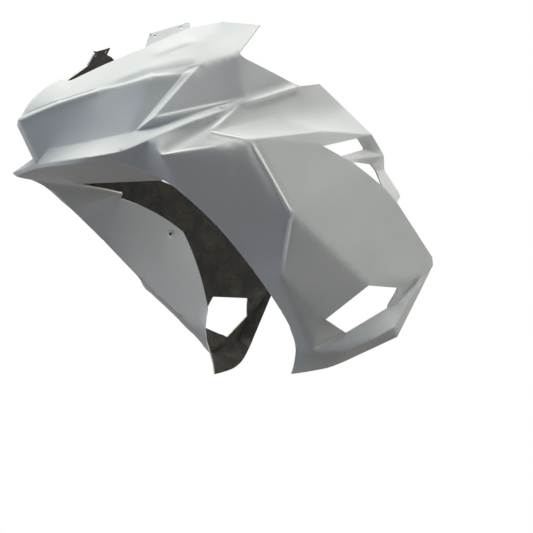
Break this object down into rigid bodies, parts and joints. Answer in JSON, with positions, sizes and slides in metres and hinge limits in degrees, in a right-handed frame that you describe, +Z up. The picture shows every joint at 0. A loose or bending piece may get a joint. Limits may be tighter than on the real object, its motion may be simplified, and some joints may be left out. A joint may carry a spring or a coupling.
{
  "type": "motorcycle fairing",
  "caption": "One-piece moulded motorcycle fairing: pointed nose with blanked lamps, lip, side panels with framed vents, and a flange folded in round the wheel opening.",
  "frame": {"origin": "midway between the two stay bolt holes in the inner flanges, on the middle plane", "axes": "+X to the rider's left, +Y to the rear, +Z up; the nose points along -Y"},
  "size_m": [0.48, 0.72, 0.572],
  "materials": {
    "laminate": "satin pale grey gelcoat outside, raw dark glass laminate inside"
  },
  "bodies": {
    "root": {"fairing": "laminate"}
  },
  "joints": []
}
